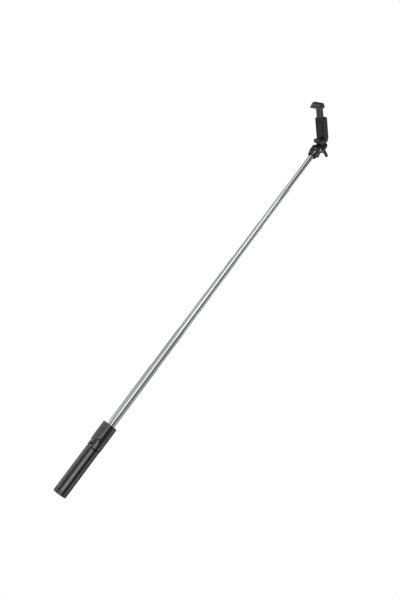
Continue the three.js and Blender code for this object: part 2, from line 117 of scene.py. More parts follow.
def make_world():
    """A white studio whose reflections are upright softboxes and dark flags round the pole."""
    world = bpy.data.worlds.new("studio")
    bpy.context.scene.world = world
    world.use_nodes = True
    nodes = world.node_tree.nodes
    links = world.node_tree.links
    nodes.clear()
    coords = nodes.new("ShaderNodeTexCoord")
    turn = nodes.new("ShaderNodeVectorRotate")
    turn.rotation_type = "Z_AXIS"
    turn.inputs["Angle"].default_value = math.pi / 2 - STUDIO_AZIMUTH
    split = nodes.new("ShaderNodeSeparateXYZ")
    angle = nodes.new("ShaderNodeMath")
    angle.operation = "ARCTAN2"
    spread = nodes.new("ShaderNodeMapRange")
    spread.inputs["From Min"].default_value = -math.pi
    spread.inputs["From Max"].default_value = math.pi
    links.new(coords.outputs["Generated"], turn.inputs["Vector"])
    links.new(turn.outputs["Vector"], split.inputs["Vector"])
    links.new(split.outputs["Y"], angle.inputs[0])
    links.new(split.outputs["X"], angle.inputs[1])
    links.new(angle.outputs["Value"], spread.inputs["Value"])
    level = None
    for stops, band in zip(LEVELS, BANDS):
        node = ramp(nodes, stops)
        links.new(spread.outputs["Result"], node.inputs["Fac"])
        if level is None:
            level = node.outputs["Color"]
            continue
        rise = nodes.new("ShaderNodeMapRange")
        rise.inputs["From Min"].default_value = band[0]
        rise.inputs["From Max"].default_value = band[1]
        blend = nodes.new("ShaderNodeMix")
        blend.data_type = "RGBA"
        links.new(split.outputs["Z"], rise.inputs["Value"])
        links.new(rise.outputs["Result"], blend.inputs["Factor"])
        links.new(level, blend.inputs[6])
        links.new(node.outputs["Color"], blend.inputs[7])
        level = blend.outputs[2]
    studio = nodes.new("ShaderNodeBackground")
    studio.inputs["Strength"].default_value = STUDIO_STRENGTH
    white = nodes.new("ShaderNodeBackground")
    white.inputs["Color"].default_value = (1, 1, 1, 1)
    path = nodes.new("ShaderNodeLightPath")
    chosen = nodes.new("ShaderNodeMixShader")
    output = nodes.new("ShaderNodeOutputWorld")
    links.new(level, studio.inputs["Color"])
    links.new(path.outputs["Is Camera Ray"], chosen.inputs["Fac"])
    links.new(studio.outputs["Background"], chosen.inputs[1])
    links.new(white.outputs["Background"], chosen.inputs[2])
    links.new(chosen.outputs["Shader"], output.inputs["Surface"])


def make_softbox(name, degrees, height, distance, width, tall, power):
    """An upright area light at an angle from the studio's front, aimed at the pole."""
    data = bpy.data.lights.new(name, "AREA")
    data.shape = "RECTANGLE"
    data.size = width
    data.size_y = tall
    data.energy = power
    light = bpy.data.objects.new(name, data)
    bpy.context.collection.objects.link(light)
    direction = STUDIO_AZIMUTH - math.pi / 2 + math.radians(degrees)
    place = Vector((distance * math.cos(direction), distance * math.sin(direction), height))
    aim = Vector((0, 0, AIM_HEIGHT)) - place
    light.matrix_world = Matrix.Translation(place) @ aim.to_track_quat("-Z", "Y").to_matrix().to_4x4()
    light.visible_camera = False


def make_floor():
    """A pale floor well below the held stick, fading out before it reaches a horizon."""
    mesh = bpy.data.meshes.new("floor")
    mesh.from_pydata([(-FLOOR_REACH, -FLOOR_REACH, FLOOR_HEIGHT), (FLOOR_REACH, -FLOOR_REACH, FLOOR_HEIGHT),
                      (FLOOR_REACH, FLOOR_REACH, FLOOR_HEIGHT), (-FLOOR_REACH, FLOOR_REACH, FLOOR_HEIGHT)],
                     [], [(0, 1, 2, 3)])
    floor = bpy.data.objects.new("floor", mesh)
    bpy.context.collection.objects.link(floor)
    material = bpy.data.materials.new("pale_floor")
    material.use_nodes = True
    nodes = material.node_tree.nodes
    links = material.node_tree.links
    shader = nodes["Principled BSDF"]
    shader.inputs["Base Color"].default_value = (0.80, 0.80, 0.80, 1)
    shader.inputs["Roughness"].default_value = 0.9
    coords = nodes.new("ShaderNodeTexCoord")
    reach = nodes.new("ShaderNodeVectorMath")
    reach.operation = "LENGTH"
    fade = nodes.new("ShaderNodeMapRange")
    fade.inputs["From Min"].default_value = -FLOOR_HEIGHT + 0.1
    fade.inputs["From Max"].default_value = FLOOR_REACH
    clear = nodes.new("ShaderNodeBsdfTransparent")
    mixed = nodes.new("ShaderNodeMixShader")
    links.new(coords.outputs["Object"], reach.inputs[0])
    links.new(reach.outputs["Value"], fade.inputs["Value"])
    links.new(fade.outputs["Result"], mixed.inputs["Fac"])
    links.new(shader.outputs["BSDF"], mixed.inputs[1])
    links.new(clear.outputs["BSDF"], mixed.inputs[2])
    links.new(mixed.outputs["Shader"], nodes["Material Output"].inputs["Surface"])
    mesh.materials.append(material)


make_camera()
make_world()
make_softbox("key", -6, 1.3, 2.4, 0.9, 0.9, 6)
make_softbox("left_strip", -98, 1.2, 1.8, 0.4, 0.9, 2)
make_softbox("right_strip", 96, 1.2, 1.8, 0.4, 0.9, 1.5)
make_floor()
bpy.context.scene.view_settings.view_transform = "Standard"


# ---------------------------------------------------------------- materials

class Surface:
    """A node material with small helpers. Its coordinates are the object's own, in metres."""

    def __init__(self, name):
        self.material = bpy.data.materials.new(name)
        self.material.use_nodes = True
        self.nodes = self.material.node_tree.nodes
        self.links = self.material.node_tree.links
        self.shader = self.nodes["Principled BSDF"]
        self.coords = self.nodes.new("ShaderNodeTexCoord").outputs["Object"]
        self.normal = None

    def noise(self, scale, stretch=(1, 1, 1), detail=3, rough=0.55):
        mapping = self.nodes.new("ShaderNodeMapping")
        mapping.inputs["Scale"].default_value = stretch
        self.links.new(self.coords, mapping.inputs["Vector"])
        node = self.nodes.new("ShaderNodeTexNoise")
        node.inputs["Scale"].default_value = scale
        node.inputs["Detail"].default_value = detail
        node.inputs["Roughness"].default_value = rough
        self.links.new(mapping.outputs["Vector"], node.inputs["Vector"])
        return node.outputs["Fac"]

    def spread(self, value, low, high, start=0.3, end=0.7):
        node = self.nodes.new("ShaderNodeMapRange")
        node.inputs["From Min"].default_value = start
        node.inputs["From Max"].default_value = end
        node.inputs["To Min"].default_value = low
        node.inputs["To Max"].default_value = high
        self.links.new(value, node.inputs["Value"])
        return node.outputs["Result"]

    def mix(self, factor, first, second):
        node = self.nodes.new("ShaderNodeMix")
        node.data_type = "RGBA"
        self.links.new(factor, node.inputs["Factor"])
        for socket, value in ((node.inputs[6], first), (node.inputs[7], second)):
            if isinstance(value, tuple):
                socket.default_value = (*value, 1)
            else:
                self.links.new(value, socket)
        return node.outputs[2]

    def bump(self, height, distance_mm, strength=1.0):
        node = self.nodes.new("ShaderNodeBump")
        node.inputs["Distance"].default_value = distance_mm * MM
        node.inputs["Strength"].default_value = strength
        self.links.new(height, node.inputs["Height"])
        if self.normal is not None:
            self.links.new(self.normal, node.inputs["Normal"])
        self.normal = node.outputs["Normal"]
        self.links.new(self.normal, self.shader.inputs["Normal"])

    def edges(self):
        """1 along convex edges, where handling rubs the surface."""
        geometry = self.nodes.new("ShaderNodeNewGeometry")
        return self.spread(geometry.outputs["Pointiness"], 0, 1, 0.52, 0.62)

    def feed(self, socket, value):
        self.links.new(value, self.shader.inputs[socket])

    def fix(self, **values):
        for socket, value in values.items():
            self.shader.inputs[socket.replace("_", " ")].default_value = value


def tint(color, factor):
    return tuple(channel * factor for channel in color)


def plastic(name, color, rough, grain_mm=0.03, grain_scale=2600, specular=0.6, coat=0.0, wear=1.7):
    """Moulded plastic: a fine spark-eroded grain, faint flow clouds, scuffs and rubbed edges."""
    s = Surface(name)
    clouds = s.noise(38, detail=2)
    body = s.mix(s.spread(clouds, 0, 1), tint(color, 0.86), tint(color, 1.16))
    scuffs = s.noise(240, stretch=(1, 1, 0.22), detail=5, rough=0.7)
    scuffed = s.mix(s.spread(scuffs, 0, 0.5, 0.62, 0.8), body, tint(color, 1.9))
    s.feed("Base Color", s.mix(s.edges(), scuffed, tint(color, wear)))
    s.feed("Roughness", s.spread(s.noise(150, detail=4), rough - 0.05, rough + 0.07))
    s.bump(s.noise(grain_scale, detail=2), grain_mm)
    s.bump(s.noise(90, detail=2), 0.006)
    s.fix(Specular_IOR_Level=specular, Coat_Weight=coat, Coat_Roughness=0.28)
    return s.material


def rubber(name, color):
    """Matt rubber with a coarse moulded grain and dusty patches."""
    s = Surface(name)
    dust = s.spread(s.noise(70, detail=5, rough=0.7), 0, 1, 0.45, 0.75)
    s.feed("Base Color", s.mix(dust, color, tint(color, 1.9)))
    s.feed("Roughness", s.spread(s.noise(300), 0.7, 0.88))
    s.bump(s.noise(2600, detail=3), 0.03)
    s.fix(Specular_IOR_Level=0.4)
    return s.material


def polished_steel(name, color, rough, streak=(900, 900, 9)):
    """Drawn and polished stainless tube: lengthwise drawing lines and hazy handling marks."""
    s = Surface(name)
    lines = s.noise(1, stretch=streak, detail=3)
    haze = s.noise(26, stretch=(1, 1, 0.35), detail=4, rough=0.6)
    toned = s.mix(s.spread(lines, 0, 1, 0.35, 0.65), tint(color, 0.95), tint(color, 1.04))
    s.feed("Base Color", s.mix(s.spread(haze, 0, 0.6), toned, tint(color, 0.9)))
    s.feed("Roughness", s.spread(haze, rough - 0.03, rough + 0.06))
    s.bump(lines, 0.0012)
    s.fix(Metallic=1.0)
    return s.material


def machined(name, color, rough):
    """Plated small metal parts: a turned finish with fine pits."""
    s = Surface(name)
    pits = s.noise(900, detail=4)
    s.feed("Base Color", s.mix(s.spread(pits, 0, 1), tint(color, 0.8), tint(color, 1.1)))
    s.feed("Roughness", s.spread(s.noise(200), rough - 0.06, rough + 0.08))
    s.bump(pits, 0.006)
    s.fix(Metallic=1.0)
    return s.material


def circuit_board(name):
    """Green solder mask over copper tracks."""
    s = Surface(name)
    tracks = s.nodes.new("ShaderNodeTexBrick")
    tracks.inputs["Scale"].default_value = 420
    tracks.inputs["Mortar Size"].default_value = 0.03
    s.links.new(s.coords, tracks.inputs["Vector"])
    copper = s.mix(tracks.outputs["Fac"], (0.010, 0.075, 0.035), (0.05, 0.16, 0.06))
    s.feed("Base Color", copper)
    s.feed("Roughness", s.spread(s.noise(300), 0.25, 0.4))
    s.bump(tracks.outputs["Fac"], 0.02)
    return s.material


SKINS = {
    "satin_black": plastic("handle_plastic", (0.007, 0.007, 0.0073), 0.19, 0.0015, 4200, 1.0, 0.0, 1.8),
    "remote_black": plastic("remote_plastic", (0.030, 0.030, 0.0315), 0.38, 0.008, 3600, 0.8, 0.0, 1.6),
    "head_grey": plastic("head_plastic", (0.012, 0.012, 0.0125), 0.2, 0.002, 3600, 1.0, 0.0, 1.8),
    "head_dark": plastic("head_dark_plastic", (0.006, 0.006, 0.0062), 0.22, 0.002, 3600, 0.7, 0.0, 1.8),
    "foot_black": plastic("foot_plastic", (0.008, 0.008, 0.0083), 0.26, 0.003, 3600, 0.9, 0.0, 1.6),
    "rubber_black": rubber("grip_rubber", (0.018, 0.018, 0.019)),
    "polished_steel": polished_steel("tube_steel", (0.57, 0.575, 0.58), 0.11),
    "dark_steel": machined("knuckle_steel", (0.24, 0.24, 0.245), 0.34),
    "plain_steel": machined("plated_steel", (0.50, 0.50, 0.51), 0.30),
    "brass": machined("insert_brass", (0.60, 0.45, 0.20), 0.32),
    "board": circuit_board("board_green"),
}


# ---------------------------------------------------------------- mesh tools

SIDES = 96


def make(name, verts, faces):
    """A mesh object from points in mm, with its faces turned outwards."""
    mesh = bpy.data.meshes.new(name)
    mesh.from_pydata([Vector(v) * MM for v in verts], [], faces)
    bm = bmesh.new()
    bm.from_mesh(mesh)
    bmesh.ops.remove_doubles(bm, verts=bm.verts, dist=1e-7)
    bmesh.ops.recalc_face_normals(bm, faces=bm.faces)
    bm.to_mesh(mesh)
    bm.free()
    made = bpy.data.objects.new(name, mesh)
    bpy.context.collection.objects.link(made)
    return made


def lathe(name, profile, sides=SIDES, x=0, y=0):
    """Turns [radius, height] points about Z. A profile that stays off the axis is closed into a ring."""
    verts = []
    rows = []
    for radius, z in profile:
        if radius < 1e-6:
            rows.append([len(verts)] * sides)
            verts.append((x, y, z))
            continue
        rows.append(list(range(len(verts), len(verts) + sides)))
        for i in range(sides):
            angle = 2 * math.pi * i / sides
            verts.append((x + radius * math.cos(angle), y + radius * math.sin(angle), z))
    if profile[0][0] > 1e-6:
        rows.append(rows[0])
    faces = []
    for low, high in zip(rows, rows[1:]):
        for i in range(sides):
            j = (i + 1) % sides
            corners = []
            for corner in (low[i], low[j], high[j], high[i]):
                if corner not in corners:
                    corners.append(corner)
            faces.append(corners)
    return make(name, verts, faces)


def rod(name, radius, z0, z1, sides=48, x=0, y=0):
    return lathe(name, [(0, z0), (radius, z0), (radius, z1), (0, z1)], sides, x, y)


def ring(name, outer, inner, z0, z1, sides=SIDES, x=0, y=0):
    return lathe(name, [(inner, z0), (outer, z0), (outer, z1), (inner, z1)], sides, x, y)


def prism(name, points, low, high, axis):
    """Carries a flat outline along an axis: X takes [y, z] points, Y takes [x, z], Z takes [x, y]."""
    place = {
        "X": lambda a, b, t: (t, a, b),
        "Y": lambda a, b, t: (a, t, b),
        "Z": lambda a, b, t: (a, b, t),
    }[axis]
    count = len(points)
    verts = [place(a, b, low) for a, b in points] + [place(a, b, high) for a, b in points]
    faces = [tuple(range(count)), tuple(range(2 * count - 1, count - 1, -1))]
    for i in range(count):
        j = (i + 1) % count
        faces.append((i, j, count + j, count + i))
    return make(name, verts, faces)


def block(name, low, high):
    x0, y0, z0 = low
    x1, y1, z1 = high
    return prism(name, [(x0, y0), (x1, y0), (x1, y1), (x0, y1)], z0, z1, "Z")


def bar(name, radius, low, high, axis, a, b, sides=48):
    """A round bar along X or Y, centred on the other two coordinates a and b."""
    return prism(name, arc(a, b, radius, 0, 360, sides)[:-1], low, high, axis)


def arc(a, b, radius, start, end, steps=12):
    """Points on an arc, angles in degrees."""
    angles = [math.radians(start + (end - start) * i / steps) for i in range(steps + 1)]
    return [(a + radius * math.cos(t), b + radius * math.sin(t)) for t in angles]


def bow(first, pull, last, steps=8):
    """Points on a quadratic curve, without its first point."""
    made = []
    for i in range(1, steps + 1):
        t = i / steps
        made.append(tuple((1 - t) ** 2 * p + 2 * t * (1 - t) * q + t * t * r
                          for p, q, r in zip(first, pull, last)))
    return made


def combine(target, *steps):
    """Runs exact booleans on target: each step is ("cut" | "keep" | "join", tool), and tools are used up."""
    kinds = {"cut": "DIFFERENCE", "keep": "INTERSECT", "join": "UNION"}
    for kind, tool in steps:
        modifier = target.modifiers.new(kind, "BOOLEAN")
        modifier.operation = kinds[kind]
        modifier.solver = "EXACT"
        modifier.object = tool
    graph = bpy.context.evaluated_depsgraph_get()
    mesh = bpy.data.meshes.new_from_object(target.evaluated_get(graph))
    target.modifiers.clear()
    target.data = mesh
    for _, tool in steps:
        bpy.data.objects.remove(tool, do_unlink=True)
    tidy_mesh(target)
    return target


def tidy_mesh(target):
    """Merges stray points and flat slivers that a boolean leaves."""
    bm = bmesh.new()
    bm.from_mesh(target.data)
    bmesh.ops.remove_doubles(bm, verts=bm.verts, dist=2e-6)
    bmesh.ops.dissolve_limit(bm, angle_limit=math.radians(0.4), verts=bm.verts, edges=bm.edges)
    bmesh.ops.recalc_face_normals(bm, faces=bm.faces)
    bm.to_mesh(target.data)
    bm.free()


def finish_piece(piece, body, skin, nodes=(), edge=0.3, place=None, segments=3):
    """Rounds the edges, smooths the shading, and hangs the piece on its body."""
    if place is not None:
        piece.data.transform(place)
    if edge:
        bevel = piece.modifiers.new("edges", "BEVEL")
        bevel.width = edge * MM
        bevel.segments = segments
        bevel.limit_method = "ANGLE"
        bevel.angle_limit = math.radians(32)
        bevel.miter_outer = "MITER_ARC"
        bevel.use_clamp_overlap = True
    for polygon in piece.data.polygons:
        polygon.use_smooth = True
    piece.data.set_sharp_from_angle(angle=math.radians(38))
    normals = piece.modifiers.new("normals", "WEIGHTED_NORMAL")
    normals.keep_sharp = True
    piece.data.materials.clear()
    piece.data.materials.append(SKINS[skin])
    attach(piece, body)
    if nodes:
        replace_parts(piece, *nodes)
    return piece


def box_mm(node):
    low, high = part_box(node)
    return [value / MM for value in low], [value / MM for value in high]


def half_width(node, axis=0):
    low, high = box_mm(node)
    return (high[axis] - low[axis]) / 2


def turned_about_z(piece, degrees):
    piece.data.transform(Matrix.Rotation(math.radians(degrees), 4, "Z"))
    return piece


# ---------------------------------------------------------------- handle

HANDLE_TOP = box_mm("hub_cap")[1][2]
HUB_RADIUS = 14.7
LEG_RADIUS = 14.1
LEG_BORE = 9.2
LEG_HALF_ANGLE = 59.2
LEG_TOP = box_mm("leg_1")[1][2]
FOOT_TOP = box_mm("leg_1_foot")[1][2]
PIN_OUT = 11
PIN_HEIGHT = (box_mm("leg_1_pin")[0][2] + box_mm("leg_1_pin")[1][2]) / 2
TONGUE_HALF = half_width("leg_1_knuckle")
LEG_COUNT = 3


def sector_points(inner, outer, half_angle):
    return arc(0, 0, outer, -90 - half_angle, -90 + half_angle, 48) + \
        arc(0, 0, inner, -90 + half_angle, -90 - half_angle, 36)


def leg_shell(name):
    """A third of the grip: a curved shell whose top slopes inwards to clear the hub as it opens."""
    slope = 0.45
    reach = LEG_BORE - 3
    drop = (LEG_RADIUS - reach) * slope
    above = prism("t", [(-LEG_RADIUS - 1, LEG_TOP + slope), (-reach, LEG_TOP - drop), (0, LEG_TOP - drop),
                        (0, LEG_TOP + 10), (-LEG_RADIUS - 1, LEG_TOP + 10)], -20, 20, "X")
    socket = block("t", (-TONGUE_HALF - 0.25, -12.7, 92), (TONGUE_HALF + 0.25, -9.3, LEG_TOP + 5))
    leg = prism(name, sector_points(LEG_BORE, LEG_RADIUS, LEG_HALF_ANGLE), FOOT_TOP + 0.3, LEG_TOP, "Z")
    return combine(leg, ("cut", above), ("cut", socket))


def leg_knuckle(name):
    barrel = bar("t", 2.0, -TONGUE_HALF, TONGUE_HALF, "X", -PIN_OUT, PIN_HEIGHT)
    blade = block(name, (-TONGUE_HALF, -12.4, 92.4), (TONGUE_HALF, -9.6, PIN_HEIGHT))
    return combine(blade, ("join", barrel), ("cut", bar("t", 1.15, -5, 5, "X", -PIN_OUT, PIN_HEIGHT)))


def foot_cap(name):
    """A rubber cap with a rounded heel and shallow ribs round its side."""
    heel = 2.4
    dome = [(0, 0), (LEG_RADIUS - heel, 0)] + arc(LEG_RADIUS - heel, heel, heel, -80, 0, 8)
    for step in range(3):
        z = 4.2 + 1.4 * step
        dome += [(LEG_RADIUS, z - 0.25), (LEG_RADIUS - 0.22, z), (LEG_RADIUS, z + 0.25)]
    dome += [(LEG_RADIUS, FOOT_TOP), (0, FOOT_TOP)]
    cap = prism(name, sector_points(LEG_BORE - 5, LEG_RADIUS + 2, LEG_HALF_ANGLE), 0, FOOT_TOP, "Z")
    return combine(cap, ("keep", lathe("t", dome, 144)))


for i in range(LEG_COUNT):
    n = i + 1
    angle = 360 * i / LEG_COUNT
    leg = turned_about_z(leg_shell(f"leg_shell_{n}"), angle)
    finish_piece(leg, f"leg_{n}", "satin_black", [f"leg_{n}"], 0.15)
    knuckle = turned_about_z(leg_knuckle(f"knuckle_{n}"), angle)
    finish_piece(knuckle, f"leg_{n}", "dark_steel", [f"leg_{n}_knuckle"], 0.2)
    foot = turned_about_z(foot_cap(f"foot_{n}"), angle)
    finish_piece(foot, f"leg_{n}", "foot_black", [f"leg_{n}_foot"], 0.25)
    pin = bar(f"leg_pin_{n}", 0.85, -5.8, 5.8, "X", -PIN_OUT, PIN_HEIGHT)
    finish_piece(turned_about_z(pin, angle), "handle", "plain_steel", [f"leg_{n}_pin"], 0.15)


# ---------------------------------------------------------------- hub and remote

REMOTE_RADIUS = -box_mm("remote_front_shell")[0][1]
REMOTE_HALF = half_width("remote_back_shell")
REMOTE_BOTTOM = box_mm("remote_back_shell")[0][2]
REMOTE_BACK = box_mm("remote_back_shell")[1][1]
REMOTE_SPLIT = box_mm("remote_back_shell")[0][1]
BUTTON_HEIGHT = sum(box_mm("shutter_button")[side][2] for side in (0, 1)) / 2
BUTTON_RADIUS = half_width("shutter_button")
HUB_BORE = 8.75


def remote_outline(margin, top=HANDLE_TOP + 1):
    half = REMOTE_HALF + margin
    low = REMOTE_BOTTOM - margin
    corner = 9
    points = [(half, top), (-half, top), (-half, low + corner)]
    points += bow((-half, low + corner), (-half, low), (-half + corner, low), 12)
    points += [(half - corner, low)]
    points += bow((half - corner, low), (half, low), (half, low + corner), 12)
    return points


SADDLE_RADIUS = 15.8
SADDLE_ANGLE = 44.5


def saddle(name, z0, z1):
    """A round section drawn out on both sides, with flat flanks, to meet the edges of the remote."""
    reach = math.degrees(math.acos(HUB_RADIUS / SADDLE_RADIUS))
    points = arc(0, 0, HUB_RADIUS, -90 + SADDLE_ANGLE + reach, 270 - SADDLE_ANGLE - reach, 120)
    for side in (-1, 1):
        points += arc(0, 0, SADDLE_RADIUS, -90 + side * SADDLE_ANGLE, -90 + side * SADDLE_ANGLE, 1)[:1]
    return prism(name, points, z0, z1, "Z")


def raised_saddle(top):
    """The part of the saddle that rises out of the round hub along a slope below the remote."""
    foot = 121
    slope = [(20, foot - 6), (20, 160), (-16.5, 160), (-16.5, foot + 8), (-14.6, foot), (-9.5, foot - 6)]
    return combine(saddle("t_saddle", foot - 5, top), ("keep", prism("t", slope, -20, 20, "X")))


def hub_shell():
    edge = 0.4
    top = HANDLE_TOP - 1.9
    bottom = LEG_TOP + 0.3
    drop = 0.45 * (LEG_RADIUS - 9.7)
    profile = [(HUB_BORE, bottom - drop), (9.7, bottom - drop), (LEG_RADIUS, bottom)]
    profile += bow((LEG_RADIUS, bottom), (HUB_RADIUS, bottom + 0.2), (HUB_RADIUS, bottom + edge), 6)
    profile += [(HUB_RADIUS, top), (HUB_BORE, top)]
    body = lathe("hub_shell", profile, 144)
    steps = [("join", raised_saddle(top)), ("cut", rod("t", HUB_BORE, bottom - 5, HANDLE_TOP + 1, SIDES)),
             ("cut", rod("t", 9.7, bottom - 5, 119, SIDES)),
             ("cut", prism("t", remote_outline(0.3), -20, REMOTE_BACK + 0.3, "Y"))]
    half = TONGUE_HALF + 0.5
    arch = [(-half, bottom - 4), (half, bottom - 4), (half, 107.4)]
    arch += arc(0, 107.4, half, 0, 180, 24)[1:]
    for i in range(LEG_COUNT):
        slot = turned_about_z(prism("t", arch, -16, -8.2, "Y"), 360 * i / LEG_COUNT)
        hole = turned_about_z(bar("t", 1.0, -6.2, 6.2, "X", -PIN_OUT, PIN_HEIGHT), 360 * i / LEG_COUNT)
        steps += [("cut", slot), ("cut", hole)]
    return combine(body, *steps)


def cap_ring():
    edge = 0.7
    low = HANDLE_TOP - 1.6
    dome = lathe("t", [(HUB_BORE, low), (SADDLE_RADIUS, low), (SADDLE_RADIUS, HANDLE_TOP - edge),
                       (SADDLE_RADIUS - edge, HANDLE_TOP), (HUB_BORE + 0.5, HANDLE_TOP),
                       (HUB_BORE, HANDLE_TOP - 0.5)], 144)
    return combine(saddle("top_ring", low, HANDLE_TOP), ("keep", dome),
                   ("cut", prism("t", remote_outline(0.3), -20, REMOTE_BACK + 0.3, "Y")))


def brake_bush():
    low, high = box_mm("brake_bush")
    step = high[2] - 7
    return lathe("grip_bush", [(8.7, low[2]), (8.95, low[2]), (8.95, step), (9.4, step), (9.4, high[2]),
                               (8.7, high[2])], SIDES)


def remote_blank(name, back, front):
    body = prism(name, remote_outline(0, HANDLE_TOP), front, back, "Y")
    return combine(body, ("keep", rod("t", REMOTE_RADIUS, REMOTE_BOTTOM - 1, HANDLE_TOP + 2, 192)))


def remote_back():
    tray = block("t", (-7, REMOTE_SPLIT - 1, 124), (7, REMOTE_BACK - 1, 155))
    return combine(remote_blank("remote_back", REMOTE_BACK, REMOTE_SPLIT), ("cut", tray))


def remote_front():
    hollow = combine(block("t_hollow", (-7, REMOTE_SPLIT - 1.4, 124), (7, REMOTE_SPLIT + 1, 155)),
                     ("keep", rod("t", REMOTE_RADIUS - 0.8, 120, HANDLE_TOP, 192)))
    hole = bar("t", BUTTON_RADIUS + 0.25, -20, REMOTE_SPLIT, "Y", 0, BUTTON_HEIGHT, 72)
    lamp = bar("t", 0.5, -20, REMOTE_SPLIT, "Y", 0, BUTTON_HEIGHT + 8, 24)
    return combine(remote_blank("remote_front", REMOTE_SPLIT - 0.02, -20), ("cut", hollow), ("cut", hole),
                   ("cut", lamp))


def button():
    """A round button with a dished middle."""
    disc = bar("shutter_cap", BUTTON_RADIUS, -17, -15.2, "Y", 0, BUTTON_HEIGHT, 72)
    dish = lathe("t", [(0, -1.2), (2.4, -1.2), (2.6, 0.6), (0, 0.6)], 64)
    dish.data.transform(Matrix.Translation((0, -16.85 * MM, BUTTON_HEIGHT * MM))
                        @ Matrix.Rotation(math.radians(90), 4, "X"))
    return combine(disc, ("keep", rod("t", REMOTE_RADIUS + 0.35, 120, 156, 192)), ("cut", dish))


finish_piece(hub_shell(), "handle", "satin_black", ["handle_hub"], 0.2)
finish_piece(cap_ring(), "handle", "satin_black", ["hub_cap"], 0.15)
finish_piece(brake_bush(), "handle", "remote_black", ["brake_bush"], 0.1)
finish_piece(remote_back(), "remote", "satin_black", ["remote_back_shell"], 0.15)
finish_piece(remote_front(), "remote", "remote_black", ["remote_front_shell"], 0.25)
finish_piece(button(), "button", "head_grey", ["shutter_button"], 0.25)
INSIDE_REMOTE = (("remote_board", "board"), ("coin_cell", "plain_steel"), ("switch_dome", "polished_steel"))
for node, skin in INSIDE_REMOTE:
    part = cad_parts[node]
    part.data.materials.clear()
    part.data.materials.append(SKINS[skin])


# ---------------------------------------------------------------- tubes

TUBE_SIDES_IN_CAD = 24
WALL = 0.25


def tube(i):
    """A drawn tube with a rolled mouth and a shallow crimp line below it."""
    low, high = box_mm(f"tube_{i}")
    outer = (high[0] - low[0]) / 2 / math.cos(math.pi / TUBE_SIDES_IN_CAD)
    inner = outer - WALL
    top = high[2]
    lip = [(outer, top - 0.35), (outer - 0.04, top - 0.14), (outer - 0.12, top - 0.02), (inner + 0.06, top)]
    crimp = [(outer, top - 3.4), (outer - 0.09, top - 3.1), (outer - 0.09, top - 2.7), (outer, top - 2.4)]
    profile = [(inner, low[2]), (outer, low[2])] + crimp + lip + [(inner, top - 0.1)]
    return lathe(f"steel_tube_{i}", profile, 128)


for i in range(1, 8):
    finish_piece(tube(i), f"tube_{i}", "polished_steel", [f"tube_{i}"], 0)


# ---------------------------------------------------------------- head

HINGE_HEIGHT = (box_mm("tilt_nut")[0][2] + box_mm("tilt_nut")[1][2]) / 2
HEAD_BOTTOM = box_mm("head_fork")[0][2]
EAR_RADIUS = 8.8
NUT_EAR_RADIUS = 6.6
KNUCKLE_RADIUS = 7.6
FORK_HALF_GAP = 6.3
YOKE_RADIUS = 11.8
COLLAR_LOW, COLLAR_HIGH = (box_mm("neck_collar")[side][2] for side in (0, 1))


def collar():
    flange = 9.6
    plug = 4.5
    seat = box_mm("tube_7")[1][2] + 0.3
    profile = [(0, COLLAR_LOW), (plug - 0.6, COLLAR_LOW), (plug, COLLAR_LOW + 1), (plug, seat),
               (flange - 1.4, seat)]
    profile += bow((flange - 1.4, seat), (flange, seat + 0.1), (flange, seat + 1.3), 6)
    profile += [(flange, COLLAR_HIGH - 0.3), (flange - 0.3, COLLAR_HIGH), (0, COLLAR_HIGH)]
    return combine(lathe("pole_collar", profile), ("cut", rod("t", 2, COLLAR_LOW + 5, COLLAR_HIGH + 1)))


def fork():
    low = HEAD_BOTTOM
    base = 9.9
    front = [(-base, low), (base, low), (base + 0.4, 867), (EAR_RADIUS, 870.5)]
    front += arc(0, HINGE_HEIGHT, EAR_RADIUS, 0, 180, 40) + [(-EAR_RADIUS, 870.5), (-base - 0.4, 867)]
    side = lathe("t", [(0, low), (base, low), (base + 0.4, 866.6)]
                 + bow((base + 0.4, 866.6), (YOKE_RADIUS, 868.6), (YOKE_RADIUS, 871), 8)
                 + [(YOKE_RADIUS, 884)]
                 + bow((YOKE_RADIUS, 884), (YOKE_RADIUS, 889), (YOKE_RADIUS - 1.2, 890), 6)
                 + [(0, 890)], 144)
    slot = block("t", (-FORK_HALF_GAP, -20, 871.8), (FORK_HALF_GAP, 20, 895))
    nut_ear = combine(bar("t_ear", NUT_EAR_RADIUS, -20, 20, "X", 0, HINGE_HEIGHT, 80),
                      ("join", block("t", (-20, -NUT_EAR_RADIUS, 873), (20, NUT_EAR_RADIUS, HINGE_HEIGHT))))
    trim = combine(block("t_trim", (FORK_HALF_GAP - 0.5, -20, 873), (20, 20, 895)), ("cut", nut_ear))
    steps = [("keep", side), ("cut", slot), ("cut", trim),
             ("cut", bar("t", 2.4, -20, 20, "X", 0, HINGE_HEIGHT)),
             ("cut", bar("t", 4.4, 9.2, 20, "X", 0, HINGE_HEIGHT, 64)),
             ("cut", bar("t", 4.4, -20, -9.2, "X", 0, HINGE_HEIGHT, 64)),
             ("cut", rod("t", 1.9, 862, 872)), ("cut", rod("t", 3.7, 868.4, 873))]
    return combine(prism("fork", front, -13, 13, "X"), *steps)


def tilt_bolt():
    shank = bar("hinge_bolt", 1.9, -11, 10.6, "X", 0, HINGE_HEIGHT)
    head = bar("t", 3.9, -11.4, -9.6, "X", 0, HINGE_HEIGHT, 64)
    slot = block("t", (-12, -0.5, HINGE_HEIGHT - 5), (-10.9, 0.5, HINGE_HEIGHT + 5))
    return combine(shank, ("join", head), ("cut", slot))


def tilt_nut():
    hexagon = arc(0, HINGE_HEIGHT, 3.9, 30, 330, 5)
    nut = prism("hinge_nut", hexagon, 9.5, 11.3, "X")
    return combine(nut, ("cut", bar("t", 2.2, 5, 20, "X", 0, HINGE_HEIGHT)))


def swivel_screw():
    low, high = box_mm("swivel_screw")
    shank = rod("neck_screw", 1.6, low[2], high[2] - 2)
    return combine(shank, ("join", rod("t", 3.3, high[2] - 2.3, high[2], 64)))


